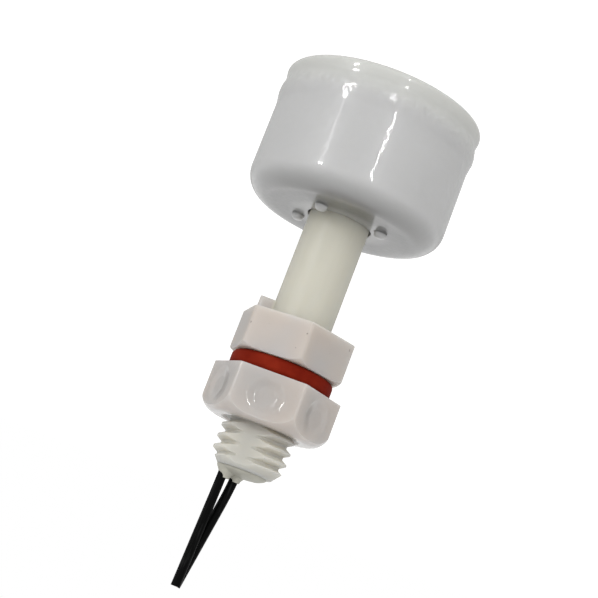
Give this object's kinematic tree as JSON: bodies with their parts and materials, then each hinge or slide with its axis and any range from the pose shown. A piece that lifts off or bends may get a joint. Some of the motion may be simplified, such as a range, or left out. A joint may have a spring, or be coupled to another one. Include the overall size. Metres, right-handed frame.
{
  "type": "float level switch",
  "caption": "Small top-mounted liquid level switch: a ring float slides on a closed plastic stem below a hexagonal flange, gasket, threaded shank and lock nut, with wire leads.",
  "frame": {"origin": "centre of the flange's seal face, where the gasket sits", "axes": "+Z along the threaded shank, out of the tank towards the wire leads; the stem and float hang along -Z"},
  "size_m": [0.0282, 0.0282, 0.0724],
  "materials": {
    "stem_plastic": "satin natural polypropylene",
    "nut_plastic": "satin natural polypropylene",
    "float_plastic": "satin milky polypropylene",
    "gasket_silicone": "matt red-brown silicone rubber",
    "clip_steel": "bright spring steel",
    "ferrite": "sintered ferrite",
    "reed_glass": "clear green-tinted glass",
    "reed_metal": "plated nickel-iron",
    "cushion_silicone": "clear silicone sleeve",
    "solder": "bright solder",
    "heat_shrink": "black heat-shrink sleeve",
    "lead_jacket": "black wire insulation, slightly glossy",
    "copper": "stranded copper",
    "potting_resin": "cast grey resin"
  },
  "bodies": {
    "root": {"stem_body": "stem_plastic", "retaining_clip": "clip_steel", "reed_glass": "reed_glass", "upper_reed_blade": "reed_metal", "lower_reed_blade": "reed_metal", "reed_cushion": "cushion_silicone", "upper_solder": "solder", "lower_solder": "solder", "upper_heat_shrink": "heat_shrink", "lower_heat_shrink": "heat_shrink", "long_lead_insulation": "lead_jacket", "long_lead_core": "copper", "short_lead_insulation": "lead_jacket", "short_lead_core": "copper", "potting_compound": "potting_resin"},
    "gasket": {"sealing_gasket": "gasket_silicone"},
    "nut": {"lock_nut": "nut_plastic"},
    "float": {"float_cup": "float_plastic", "float_lid": "float_plastic", "float_magnet": "ferrite"}
  },
  "joints": [
    {"name": "float_slide", "type": "slide", "parent": "root", "child": "float", "axis": [0, 0, 1], "range_m": [0, 0.01305]},
    {"name": "gasket_slide", "type": "slide", "parent": "root", "child": "gasket", "axis": [0, 0, 1], "range_m": [0, 0.006]},
    {"name": "nut_turn", "type": "hinge", "parent": "gasket", "child": "nut", "pos_m": [0, 0, 0.0022], "axis": [0, 0, 1], "range_deg": [0, 1440.5]}
  ],
  "couplings": [
    {"joint": "nut_turn", "follows": "gasket_slide", "rad_per_m": 4188.8}
  ]
}
